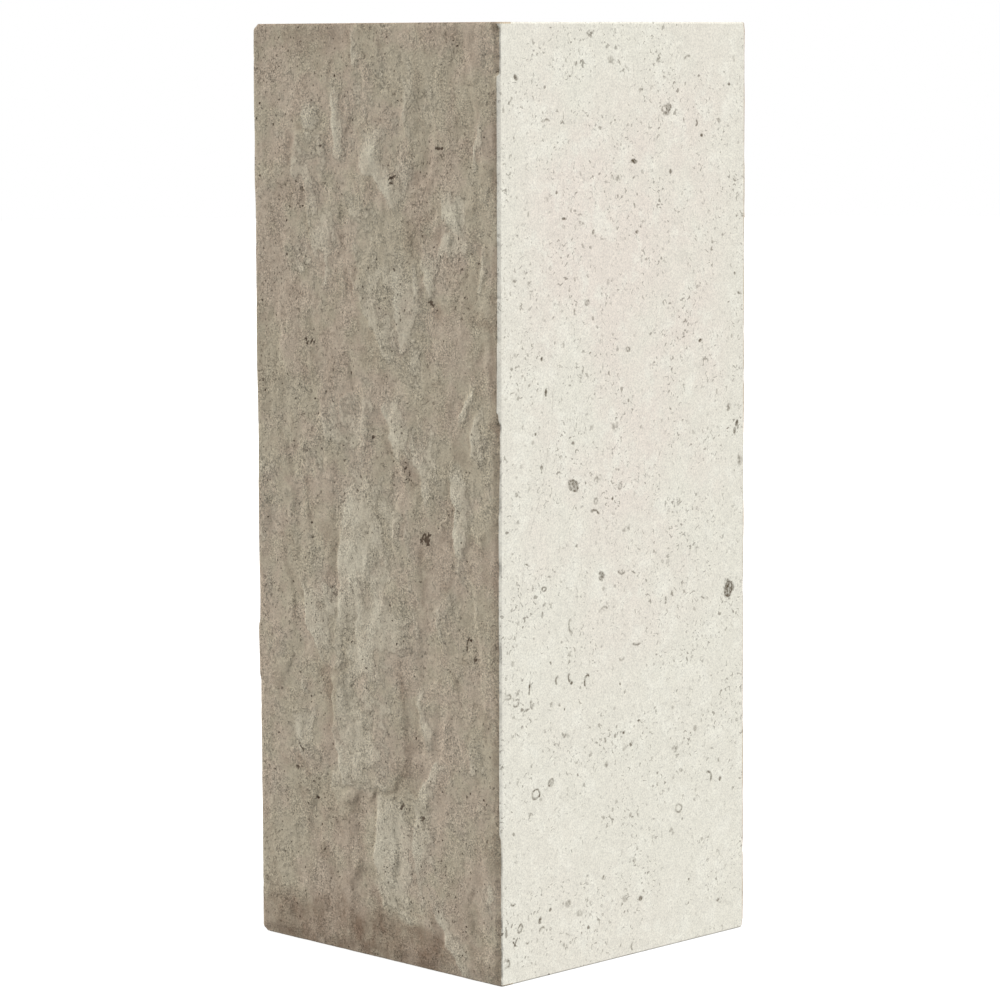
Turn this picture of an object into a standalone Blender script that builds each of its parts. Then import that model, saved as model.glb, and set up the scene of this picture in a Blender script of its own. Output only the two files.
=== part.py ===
"""A limestone pedestal: one square block of stone, taller than it is wide, that stands on its sawn base.

Lengths are in metres, +Z is up and the origin is the middle of the base. The riven face looks along -Y
and the honed face beside it along +X, so the arris between them stands at +X -Y. The top and both X faces
are honed flat and the base is sawn flat. The back is riven too, with a plainer relief. SIDE is the block's
width between its honed faces, and DEPTH runs over the proudest points of its two riven faces.
"""

import math
from collections import namedtuple

import bmesh
import bpy
import numpy as np

MM = 0.001

SIDE = 0.305
DEPTH = 0.317
HEIGHT = 0.813
ARRIS_EASE = 0.0022
ARRIS_SEGMENTS = 2
ARRIS_LAG = 0.3
COLUMNS = 26
ROWS = 62
MARGIN_CELL = 0.004

# A flake is a low step left on a riven face where stone split off. Its centre is given in millimetres from the
# face's left arris and from the base, then come its half sizes, the lean of its top to the left, its rise, and
# the sides on which its rim is crisp. The other sides fade away.
Flake = namedtuple("Flake", "across up half_width half_height lean rise crisp")

# The edges say how deep a riven face's upright arrises lie under its proudest crest in millimetres, left and
# right, each at the base and at the top.
Face = namedtuple("Face", "seed flakes left_edge right_edge")

FRONT_FLAKES = (
    Flake(144, 207, 47, 62, 8, 2.3, "left bottom right"),
    Flake(115, 152, 17, 16, 12, 0.8, "left bottom"),
    Flake(176, 104, 26, 42, 0, 1.5, "left"),
    Flake(188, 54, 34, 15, -8, 0.9, "left bottom"),
    Flake(217, 108, 18, 40, 4, 1.3, "left"),
    Flake(224, 166, 10, 26, -40, 1.2, "left"),
    Flake(249, 33, 8, 36, 32, 2.0, "left"),
    Flake(228, 206, 15, 13, 0, 0.6, "left"),
    Flake(152, 336, 46, 66, -2, 1.5, "left"),
    Flake(161, 290, 31, 26, 0, 0.7, "left"),
    Flake(88, 292, 19, 46, 22, 1.6, "left bottom"),
    Flake(204, 346, 8, 64, 2, 0.7, "left"),
    Flake(66, 186, 15, 26, 26, 0.9, "left"),
    Flake(78, 692, 28, 22, -8, 1.0, "left top"),
    Flake(90, 650, 22, 34, 12, 1.1, "left"),
    Flake(112, 730, 8, 30, 7, 0.9, "left"),
    Flake(160, 686, 10, 27, 46, 1.5, "left"),
    Flake(198, 748, 8, 24, 4, 0.8, "left"),
    Flake(249, 655, 9, 17, 12, 1.8, "left"),
    Flake(241, 622, 9, 9, -18, 1.1, "left"),
    Flake(224, 605, 9, 19, 8, 1.2, "left"),
    Flake(150, 622, 28, 46, 6, 1.1, "left"),
    Flake(175, 566, 26, 46, 30, 1.6, "left"),
    Flake(197, 556, 12, 44, 9, 0.8, "left"),
    Flake(132, 480, 22, 16, 0, 0.8, "left top"),
    Flake(186, 470, 16, 28, 12, 1.5, "left"),
    Flake(222, 438, 16, 34, 14, 1.2, "left"),
    Flake(257, 398, 6, 40, 3, 1.6, "left"),
    Flake(284, 465, 9, 21, -14, 1.5, "left"),
)
BACK_FLAKES = (
    Flake(110, 250, 62, 130, -5, 1.7, "left bottom"),
    Flake(210, 560, 58, 140, 6, 1.6, "right"),
    Flake(90, 640, 44, 90, 4, 1.2, "left"),
    Flake(220, 180, 34, 70, 12, 1.3, "left top"),
)
FRONT = Face(11, FRONT_FLAKES, (3.9, 3.8), (1.7, 3.3))
BACK = Face(37, BACK_FLAKES, (2.8, 4.3), (4.4, 4.4))

# Rims, in millimetres where crisp and as a share of the half size where soft, and how square an outline is.
CRISP_RIM = 5.0
SOFT_RIM_SHARE = 0.9
FLAKE_SQUARENESS = 3.2

# The face stands proud of its arrises by the crown, and is calm near them. Crests are softened near the
# proudest level, and the face falls back a little at the base and the top.
CROWN = 0.9
EDGE_ROLL = 4.5
END_CALM_WIDTH, SIDE_CALM_WIDTH = 16, 18
BASE_FALL, BASE_FALL_WIDTH = 2.2, 13
TOP_FALL, TOP_FALL_WIDTH = 0.6, 5
CREST_SOFTENING = 0.8

LATTICE = 64
BED_LEAN = 0.1
SWELLS = (
    # cell across, cell up, height: all in millimetres
    (90, 190, 0.7),
    (38, 72, 0.4),
    (17, 28, 0.16),
)
FACET_CELL = (44, 84)
FACET_TILT = 0.06
FACET_STEP = 0.3
FACET_SHARPNESS = 16
DRIFT_CELL = (26, 48)
DRIFT_ACROSS, DRIFT_UP = 5, 8

LIMESTONE_COLOUR = (0.76, 0.73, 0.65, 1.0)
LIMESTONE_ROUGHNESS = 0.7


def ease(share):
    """Nought to one with level ends: three squares less two cubes of the clipped share."""
    share = np.clip(share, 0, 1)
    return share * share * (3 - 2 * share)


def lattice_noise(across, up, cell_across, cell_up, seed):
    """Smooth noise from -1 to 1: seeded values at a lattice's corners, blended with the same ease."""
    values = np.random.default_rng(seed).uniform(-1, 1, (LATTICE, LATTICE))
    along, aloft = across / cell_across, up / cell_up
    column, row = np.floor(along).astype(int), np.floor(aloft).astype(int)
    share_across, share_up = ease(along - column), ease(aloft - row)

    def corner(right, top):
        return values[(column + right) % LATTICE, (row + top) % LATTICE]

    low = corner(0, 0) * (1 - share_across) + corner(1, 0) * share_across
    high = corner(0, 1) * (1 - share_across) + corner(1, 1) * share_across
    return low * (1 - share_up) + high * share_up


def facets(across, up, seed):
    """Patches of the bed, each with its own tilt and level: planes about jittered seeds, blended by nearness."""
    cell_across, cell_up = FACET_CELL
    draws = np.random.default_rng(seed).uniform(-1, 1, (5, LATTICE, LATTICE))
    along, aloft = across / cell_across, up / cell_up
    column, row = np.floor(along).astype(int), np.floor(aloft).astype(int)
    total = weights = 0
    for right in (-1, 0, 1):
        for top in (-1, 0, 1):
            jitter_across, jitter_up, level, tilt_across, tilt_up = draws[
                :, (column + right) % LATTICE, (row + top) % LATTICE
            ]
            off_across = along - column - right - 0.5 - 0.42 * jitter_across
            off_up = aloft - row - top - 0.5 - 0.42 * jitter_up
            tilt = tilt_across * off_across + 0.7 * tilt_up * off_up
            weight = np.exp(-FACET_SHARPNESS * (off_across**2 + off_up**2))
            total = total + weight * (FACET_STEP * level + FACET_TILT * cell_across * tilt)
            weights = weights + weight
    return total / weights


def flake_share(flake, across, up):
    """One inside a flake and nought outside.

    The outline is a superellipse in the flake's leaning frame. Its rim is as wide as the side it is on says,
    blended round the corners by the sixth powers of the two directions.
    """
    lean = math.radians(flake.lean)
    right = (across - flake.across) * math.cos(lean) + (up - flake.up) * math.sin(lean)
    above = (up - flake.up) * math.cos(lean) - (across - flake.across) * math.sin(lean)
    right, above = right / flake.half_width, above / flake.half_height
    reach = (np.abs(right) ** FLAKE_SQUARENESS + np.abs(above) ** FLAKE_SQUARENESS) ** (1 / FLAKE_SQUARENESS)

    def rim(side, half_size):
        return CRISP_RIM / half_size if side in flake.crisp else SOFT_RIM_SHARE

    share = right**6 / (right**6 + above**6 + 1e-9)
    sideways = np.where(right < 0, rim("left", flake.half_width), rim("right", flake.half_width))
    upwards = np.where(above < 0, rim("bottom", flake.half_height), rim("top", flake.half_height))
    return ease((1 - reach) / (share * sideways + (1 - share) * upwards) + 0.5)


def riven_relief(face, across, up):
    """Relief in millimetres over a face, about its mean: swells, facets and flakes, summed."""
    leaning = across + BED_LEAN * (up - HEIGHT / MM / 2)
    drift_across = DRIFT_ACROSS * lattice_noise(leaning, up, *DRIFT_CELL, face.seed + 50)
    drift_up = DRIFT_UP * lattice_noise(leaning, up, *DRIFT_CELL, face.seed + 51)
    height = facets(leaning + drift_across, up + drift_up, face.seed + 20)
    for step, (cell_across, cell_up, swell) in enumerate(SWELLS):
        place = (leaning + 0.5 * drift_across, up + 0.5 * drift_up)
        height = height + swell * lattice_noise(*place, cell_across, cell_up, face.seed + 4 + step)
    fading = 1 + 0.45 * lattice_noise(across, up, 13, 22, face.seed + 60)
    for flake in face.flakes:
        inside = flake_share(flake, across + 0.5 * drift_across, up + 0.4 * drift_up)
        height = height + flake.rise * inside * fading
    return height - height.mean()


def riven_depth(face, across, up):
    """Depth in millimetres below the face's proudest point.

    A plane runs between the two upright arrises, raised by the crown and the relief. Near the arrises it is
    calmed and rolls down, and no crest passes the proudest level.
    """
    tall = HEIGHT / MM
    from_side = np.minimum(across, SIDE / MM - across)
    height = riven_relief(face, across, up)
    height = height * ease(0.25 + 0.75 * np.minimum(up, tall - up) / END_CALM_WIDTH)
    height = height * ease(0.35 + 0.65 * from_side / SIDE_CALM_WIDTH)
    height = height - BASE_FALL * (1 - ease(up / BASE_FALL_WIDTH))
    height = height - TOP_FALL * (1 - ease((tall - up) / TOP_FALL_WIDTH))
    share_across, share_up = across / (SIDE / MM), up / tall
    left, right = (base + (top - base) * share_up for base, top in (face.left_edge, face.right_edge))
    plane = (1 - share_across) * left + share_across * right
    depth = plane - (CROWN + height) * ease(from_side / EDGE_ROLL)
    over = np.maximum(CREST_SOFTENING - depth, 0)
    depth = depth + over - CREST_SOFTENING * (1 - np.exp(-over / CREST_SOFTENING))
    return depth - depth.min()


def clear_scene():
    for old in list(bpy.data.objects):
        bpy.data.objects.remove(old, do_unlink=True)


def stone_material():
    material = bpy.data.materials.new("limestone")
    material.use_nodes = True
    shader = material.node_tree.nodes["Principled BSDF"]
    shader.inputs["Base Color"].default_value = LIMESTONE_COLOUR
    shader.inputs["Roughness"].default_value = LIMESTONE_ROUGHNESS
    shader.inputs["Metallic"].default_value = 0.0
    return material


def cut_into_cells(block, axis, low, high, count):
    """Cuts the whole block by evenly spaced planes square to an axis, so that its faces get a grid."""
    normal = [float(axis == i) for i in range(3)]
    for place in np.linspace(low, high, count + 1):
        geometry = block.verts[:] + block.edges[:] + block.faces[:]
        point = [float(place) * part for part in normal]
        bmesh.ops.bisect_plane(block, geom=geometry, dist=1e-6, plane_co=point, plane_no=normal)


def press_relief(block, side, across_sign, face):
    """Moves the points of one Y face inwards by the riven depth; the arris beside it follows part of the way."""
    points = [v for v in block.verts if side * v.co.y > DEPTH / 2 - ARRIS_EASE - 1e-6]
    across = np.array([SIDE / 2 + across_sign * v.co.x for v in points]) / MM
    up = np.array([v.co.z for v in points]) / MM
    depth = riven_depth(face, across, up) * MM
    for point, inward in zip(points, depth):
        behind_face = (DEPTH / 2 - side * point.co.y) / ARRIS_EASE
        point.co.y -= side * inward * (1 - ARRIS_LAG * behind_face)


def build_block(collection):
    """A cube primitive at the block's size, its twelve arrises eased, cut into cells, its Y faces riven."""
    block = bmesh.new()
    bmesh.ops.create_cube(block, size=1.0)
    bmesh.ops.scale(block, vec=(SIDE, DEPTH, HEIGHT), verts=block.verts)
    bmesh.ops.translate(block, vec=(0, 0, HEIGHT / 2), verts=block.verts)
    bmesh.ops.bevel(
        block,
        geom=block.edges[:],
        offset=ARRIS_EASE,
        offset_type="OFFSET",
        segments=ARRIS_SEGMENTS,
        profile=0.5,
        affect="EDGES",
    )
    margin = ARRIS_EASE + MARGIN_CELL
    cut_into_cells(block, 0, margin - SIDE / 2, SIDE / 2 - margin, COLUMNS - 2)
    cut_into_cells(block, 2, margin, HEIGHT - margin, ROWS - 2)
    press_relief(block, -1, 1, FRONT)
    press_relief(block, 1, -1, BACK)
    bmesh.ops.recalc_face_normals(block, faces=block.faces)

    mesh = bpy.data.meshes.new("pedestal_block")
    block.to_mesh(mesh)
    block.free()
    mesh.materials.append(stone_material())
    pedestal = bpy.data.objects.new("pedestal_block", mesh)
    collection.objects.link(pedestal)
    return pedestal


def main():
    clear_scene()
    collection = bpy.data.collections.new("limestone_pedestal")
    bpy.context.scene.collection.children.link(collection)
    build_block(collection)


main()
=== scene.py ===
import math
from collections import namedtuple

import bmesh
import bpy
import numpy as np
from mathutils import Matrix, Vector
from mathutils.geometry import delaunay_2d_cdt


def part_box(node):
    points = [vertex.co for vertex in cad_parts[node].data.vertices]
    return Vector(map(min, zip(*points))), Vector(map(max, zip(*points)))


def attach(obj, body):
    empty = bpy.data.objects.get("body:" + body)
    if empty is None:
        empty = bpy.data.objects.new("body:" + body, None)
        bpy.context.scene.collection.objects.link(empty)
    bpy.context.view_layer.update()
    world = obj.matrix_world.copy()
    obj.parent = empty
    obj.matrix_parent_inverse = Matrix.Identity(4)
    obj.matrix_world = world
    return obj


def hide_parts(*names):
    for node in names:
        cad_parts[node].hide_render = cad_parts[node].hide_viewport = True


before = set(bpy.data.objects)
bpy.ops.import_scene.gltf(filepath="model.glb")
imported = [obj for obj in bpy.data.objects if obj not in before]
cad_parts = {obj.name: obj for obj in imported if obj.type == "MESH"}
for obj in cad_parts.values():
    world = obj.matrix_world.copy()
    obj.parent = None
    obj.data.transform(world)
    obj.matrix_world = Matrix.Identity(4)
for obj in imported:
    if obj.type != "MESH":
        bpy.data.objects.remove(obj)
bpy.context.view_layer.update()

# The block's overall sizes come from the frame. Places and sizes on its faces are in millimetres.
MM = 0.001
LOW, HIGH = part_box("pedestal_block")
SIDE = (HIGH.x - LOW.x) / MM
DEPTH = (HIGH.y - LOW.y) / MM
HEIGHT = (HIGH.z - LOW.z) / MM

# Points across and up the front riven face and the plainer back, and along each edge of the flat faces.
FRONT_GRID = (160, 376)
BACK_GRID = (56, 130)
EDGE_POINTS = 24

# The top and base arrises are a quarter round. A square of spots lies on the flat inside them, reaching this
# share of the block's sizes from its middle.
END_EASE = 1.5
END_RINGS = 3
END_SPOTS, END_SPOTS_REACH = 12, 0.42

# Each upright arris is a narrow bruised strip: the riven face ends at its rim, inset from the flat side, and
# the flat side begins at its border, deeper than the rim by the rise.
ARRIS_INSET, ARRIS_RISE = 1.3, 2.4
LEAST_ARRIS = 0.3
ARRIS_STEPS = (0.5, 1.0)
ARRIS_FULLNESS = 0.12

# An upright arris wanders and ripples, each with its cell along the arris and its reach. A chip is where
# noise of the chips' cell passes the threshold, and it deepens over the ramp. The inset takes a share of
# both.
WANDER, RIPPLE = (34, 0.35), (7, 0.3)
CHIP_CELL, CHIP_THRESHOLD, CHIP_RAMP = 9, 0.6, 0.35
CHIP_DEPTH = 0.8
INSET_SHARE = 0.4

# Paleness is how much fresher a riven surface is than the old one about it; darker stone is below nought.
# This level is painted shade, laid on the riven rounds at the top and base and on the left arris strip.
PAINTED_EDGE_SHADE = -1.2

# A flake is a low step left on the riven face where stone split off: its centre from the left arris and the
# base, its half sizes, the lean of its top to the left, its rise, how much paler it is than the old surface,
# and the sides on which its rim is crisp. The other sides fade away.
Flake = namedtuple("Flake", "across up half_width half_height lean rise pale crisp")

FRONT_FLAKES = (
    Flake(144, 207, 47, 62, 8, 2.0, 0.8, "left bottom right"),
    Flake(115, 152, 17, 16, 12, 0.8, 0.5, "left bottom"),
    Flake(134, 262, 16, 9, -20, 0.6, 0.8, "left"),
    Flake(178, 104, 28, 42, 0, 1.5, 1.4, "left"),
    Flake(188, 54, 34, 15, -8, 0.6, 0.8, "left bottom"),
    Flake(220, 108, 18, 40, 4, 1.3, 0.9, "left"),
    Flake(224, 166, 10, 26, -40, 1.2, 1.1, "left"),
    Flake(249, 33, 8, 36, 32, 2.0, 2.0, "left"),
    Flake(217, 226, 10, 20, 8, 0.8, 1.2, "left"),
    Flake(228, 206, 15, 13, 0, 0.6, 0.5, "left"),
    Flake(276, 196, 6, 16, -4, 0.8, 0.8, "left"),
    Flake(295, 82, 4, 12, -8, 0.8, 1.2, "left"),
    Flake(152, 336, 46, 66, -2, 1.5, 0.9, "left"),
    Flake(161, 290, 31, 26, 0, 0.7, 0.4, "left"),
    Flake(88, 292, 19, 46, 22, 1.6, 1.3, "left bottom"),
    Flake(110, 284, 6, 24, 2, 0.6, 0.8, "left"),
    Flake(204, 346, 8, 64, 2, 0.7, 0.8, "left"),
    Flake(244, 304, 15, 20, 8, 0.6, 0.5, "left"),
    Flake(239, 322, 6, 18, -38, 0.6, 0.6, "left"),
    Flake(58, 234, 4, 9, 10, 0.8, 1.3, "left"),
    Flake(66, 186, 15, 26, 26, 0.9, 0.7, "left"),
    Flake(78, 692, 28, 22, -8, 1.0, 0.8, "left top"),
    Flake(90, 650, 22, 34, 12, 1.1, 0.8, "left"),
    Flake(74, 728, 8, 14, 0, 0.6, 0.7, "left"),
    Flake(112, 730, 8, 30, 7, 0.9, 1.0, "left"),
    Flake(160, 686, 10, 27, 46, 1.5, 1.4, "left"),
    Flake(187, 668, 15, 22, 10, 0.6, 0.4, ""),
    Flake(198, 748, 8, 24, 4, 0.8, 0.9, "left"),
    Flake(133, 797, 6, 17, 14, 1.0, 1.4, "left"),
    Flake(284, 712, 4, 19, -16, 1.3, 1.8, "left"),
    Flake(249, 655, 9, 17, 12, 1.8, 1.7, "left"),
    Flake(229, 642, 6, 11, -28, 0.9, 1.1, "left"),
    Flake(241, 622, 9, 9, -18, 1.1, 1.3, "left"),
    Flake(224, 605, 9, 19, 8, 1.2, 1.1, "left"),
    Flake(206, 596, 5, 17, 8, 0.8, 0.8, "left"),
    Flake(150, 622, 28, 46, 6, 1.1, 0.3, "left"),
    Flake(175, 566, 26, 46, 30, 1.6, 0.7, "left"),
    Flake(197, 556, 12, 44, 9, 0.8, 1.1, "left"),
    Flake(97, 602, 6, 16, 6, 0.6, 0.7, "left"),
    Flake(54, 612, 15, 17, 0, 0.5, 0.5, ""),
    Flake(132, 480, 22, 16, 0, 0.8, 0.6, "left top"),
    Flake(186, 470, 16, 28, 12, 1.5, 1.3, "left"),
    Flake(222, 438, 16, 34, 14, 1.2, 0.9, "left"),
    Flake(257, 398, 8, 40, 3, 1.6, 2.1, "left"),
    Flake(269, 492, 4, 18, -24, 1.2, 1.7, "left"),
    Flake(284, 465, 9, 21, -14, 1.5, 1.4, "left"),
    Flake(285, 600, 4, 19, -8, 0.9, 1.1, "left"),
)


def stain_and_shade(across, up, half_width, half_height, pale, lean=0, crisp=""):
    """A flake without a rise, which only changes the tone: stained stone, and painted shade in some places.
    """
    return Flake(across, up, half_width, half_height, lean, 0, pale, crisp)


# On the front the middle is paler and the foot darker. Painted shade lies along the right arris, in the
# hollow left of the big flake at 144 across and inside that flake's right and bottom rims. Smaller spots are
# browner or paler than what lies about them.
FRONT_STAINS_AND_SHADE = (
    stain_and_shade(152, 440, 62, 420, 0.2),
    stain_and_shade(60, 4, 200, 42, -1.1),
    stain_and_shade(20, 10, 50, 26, -0.2),
    stain_and_shade(132, 18, 24, 18, -0.9),
    stain_and_shade(137, 43, 22, 26, -0.6, 40, "right"),
    stain_and_shade(196, 15, 44, 21, -0.3, -3, "top"),
    stain_and_shade(192, 43, 34, 4, 0.7, -4, "bottom"),
    # Painted shade inside the bottom rim of the big flake.
    stain_and_shade(170, 160, 30, 14, -0.2, 0, "bottom"),
    stain_and_shade(56, 192, 16, 18, 0.5),
    stain_and_shade(45, 164, 18, 12, -0.5),
    stain_and_shade(96, 256, 10, 12, -0.8),
    stain_and_shade(155, 284, 14, 14, 0.5),
    stain_and_shade(294, 75, 10, 16, 0.6),
    stain_and_shade(92, 62, 40, 30, -0.3),
    stain_and_shade(108, 106, 34, 34, -0.6, 0, "right"),
    stain_and_shade(178, 84, 18, 30, 0.6),
    # Painted shade in the hollow left of the big flake.
    stain_and_shade(90, 240, 12, 30, -0.7, 3, "right"),
    stain_and_shade(30, 190, 40, 22, 0.3),
    stain_and_shade(110, 192, 26, 16, -0.3),
    stain_and_shade(145, 225, 20, 26, -0.3),
    # These two are painted shade along the inside of the big flake's right rim.
    stain_and_shade(180, 180, 11, 34, -0.5, 2, "right bottom"),
    stain_and_shade(184, 250, 9, 24, -0.2, -4, "right"),
    stain_and_shade(128, 292, 4, 18, -0.5, 2, "left right"),
    stain_and_shade(92, 360, 11, 40, -0.5, 0, "right"),
    stain_and_shade(138, 370, 34, 44, 0.4),
    stain_and_shade(12, 380, 16, 70, 0.4),
    stain_and_shade(205, 350, 12, 40, -0.6),
    stain_and_shade(195, 436, 5, 14, -0.6, 20),
    stain_and_shade(124, 550, 24, 30, -0.5, 30, "right"),
    stain_and_shade(115, 612, 14, 24, -0.6, 6, "right"),
    stain_and_shade(135, 590, 14, 16, -0.7),
    stain_and_shade(178, 612, 16, 50, 0.3, 20),
    stain_and_shade(252, 642, 16, 24, 1.1),
    stain_and_shade(97, 316, 9, 14, 0.9),
    stain_and_shade(116, 165, 14, 15, 0.7),
    # Painted shade in the hollow left of the big flake.
    stain_and_shade(94, 222, 6, 20, -0.9, 3, "right"),
    stain_and_shade(75, 735, 14, 14, 0.6),
    stain_and_shade(156, 706, 14, 14, 0.6),
    stain_and_shade(96, 468, 13, 15, 0.6),
    stain_and_shade(262, 570, 42, 8, -0.6, -8),
    stain_and_shade(97, 522, 8, 18, -0.8, 12, "right"),
    stain_and_shade(212, 684, 12, 36, -0.4),
    stain_and_shade(204, 632, 12, 24, -0.4),
    stain_and_shade(285, 108, 16, 22, -0.4),
    # Painted shade along the right arris, where the face rolls down towards it.
    stain_and_shade(303, 400, 6, 500, -0.7),
    stain_and_shade(295, 730, 14, 26, -0.4),
    stain_and_shade(60, 800, 200, 14, -0.3),
)

BACK_FLAKES = (
    Flake(110, 250, 62, 130, -5, 1.7, 0.8, "left bottom"),
    Flake(210, 560, 58, 140, 6, 1.6, 0.9, "right"),
    Flake(90, 640, 44, 90, 4, 1.2, 0.6, "left"),
    Flake(220, 180, 34, 70, 12, 1.3, 0.9, "left top"),
)
BACK_STAINS = (stain_and_shade(152, 4, 200, 40, -0.9),)

# The power of a flake's outline, the width of each crisp rim, and a soft rim's share of the half size.
FLAKE_SQUARENESS = 3.2
CRISP_RIMS = {"left": 2.8, "top": 4.0, "right": 9.0, "bottom": 6.0}
SOFT_RIM_SHARE = 0.9

# The painted highlight at the left and top and painted shade at the right and bottom of the line along a
# crisp rim, the painted shade of the gutter outside it, for each millimetre of rise up to a most, and how
# much of a flake's paleness is lost across it, which is partly aged stone and partly painted shade.
RIM_HIGHLIGHT_AND_SHADE = {"left": 0.6, "top": 0.3, "right": -0.3, "bottom": -0.2}
MOST_RIM_RISE = 1.6
GUTTER, GUTTER_SHADE_TONE = 8.0, -0.3
AGEING_AND_PAINTED_SHADE = 0.8

# A worn stretch of an upright arris between two heights: how much it adds to the inset, to the rim's depth
# and to the border's depth, and the lengths of its two ramps.
Wear = namedtuple("Wear", "bottom top inset rim border ramp_bottom ramp_top")

# The edges say how deep the borders of the flat sides lie under a riven face's proudest crest, at the base
# and at the top, and the chips how ragged each arris is.
Face = namedtuple(
    "Face",
    "seed flakes stains left_edge right_edge left_chips right_chips left_wear right_wear",
)

FRONT = Face(
    seed=11,
    flakes=FRONT_FLAKES,
    stains=FRONT_STAINS_AND_SHADE,
    left_edge=(6.3, 6.2),
    right_edge=(4.1, 5.7),
    left_chips=0.25,
    right_chips=1.0,
    left_wear=(
        Wear(229, 285, -0.6, -0.9, -0.9, 6, 6),
        Wear(-6, 5, 3.2, 2.0, 4.5, 5, 5),
        Wear(808, 820, 2.6, 1.6, 3.5, 4, 5),
    ),
    right_wear=(
        Wear(487, 840, 0.4, -0.9, 0, 3, 3),
        Wear(487, 545, 0.2, -0.6, 0, 3, 40),
        Wear(385, 484, -0.6, 1.2, 0, 80, 5),
        Wear(-10, 131, -0.5, 1.3, 0, 1, 4),
        Wear(768, 811, -0.9, 2.6, 0.3, 3, 3),
    ),
)
BACK = Face(
    seed=37,
    flakes=BACK_FLAKES,
    stains=BACK_STAINS,
    left_edge=(5.2, 6.7),
    right_edge=(6.8, 6.8),
    left_chips=0.3,
    right_chips=0.5,
    left_wear=(Wear(-4, 3, 1.2, 0.8, 1.6, 3, 3), Wear(810, 818, 1.2, 0.8, 1.6, 3, 3)),
    right_wear=(Wear(300, 340, 1.4, 0.9, 1.8, 12, 12),),
)

# Relief of the riven faces. The face stands proud of its edges by the crown and rolls down to its rims. Near
# the ends and sides it is calm, each with a width and the least share of the relief, before it is eased.
LATTICE = 64
BED_LEAN = 0.1
CROWN = 0.9
EDGE_ROLL = 4.5
END_CALM, SIDE_CALM = (16, 0.25), (18, 0.35)
BASE_FALL, BASE_FALL_WIDTH = 2.2, 13
TOP_FALL, TOP_FALL_WIDTH = 0.6, 5
CREST_SOFTENING = 0.8
SWELLS = (
    # cell across, cell up, height
    (90, 190, 0.7),
    (38, 72, 0.34),
    (17, 24, 0.11),
    (8, 10, 0.1),
    (4.2, 5.2, 0.09),
)
# cell across, cell up, tilt, step, sharpness
BROAD_FACETS = (44, 84, 0.06, 0.3, 16)
SMALL_FACETS = (17, 28, 0.07, 0.16, 14)
# How far, in cells, a facet's seed strays from its cell's middle, and how strong its tilt is upwards.
FACET_JITTER, UPWARD_TILT = 0.42, 0.7
DRIFTS = (
    # cell across, cell up, sideways, upwards
    (26, 48, 5, 8),
    (10, 13, 3, 4),
    (4.3, 5, 1.3, 1.5),
)
PALENESS = (
    # cell across, cell up, strength
    (24, 40, 0.2),
    (9, 12, 0.22),
    (4, 5, 0.25),
)

# The shares of the drift that carry the swells and the flakes' outlines, and how unevenly the flakes have
# faded: cell across, cell up, strength.
SWELL_DRIFT = 0.5
OUTLINE_BROAD_ACROSS, OUTLINE_BROAD_UP, OUTLINE_SMALL = 0.5, 0.4, 1.2
FADING = (13, 22, 0.45)

# Marks cut through by the honing, on the right-hand honed face: kind, place from the front arris and from
# the base, long and short size, turn in degrees, and strength.
Mark = namedtuple("Mark", "kind across up long short turn strength")

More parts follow.
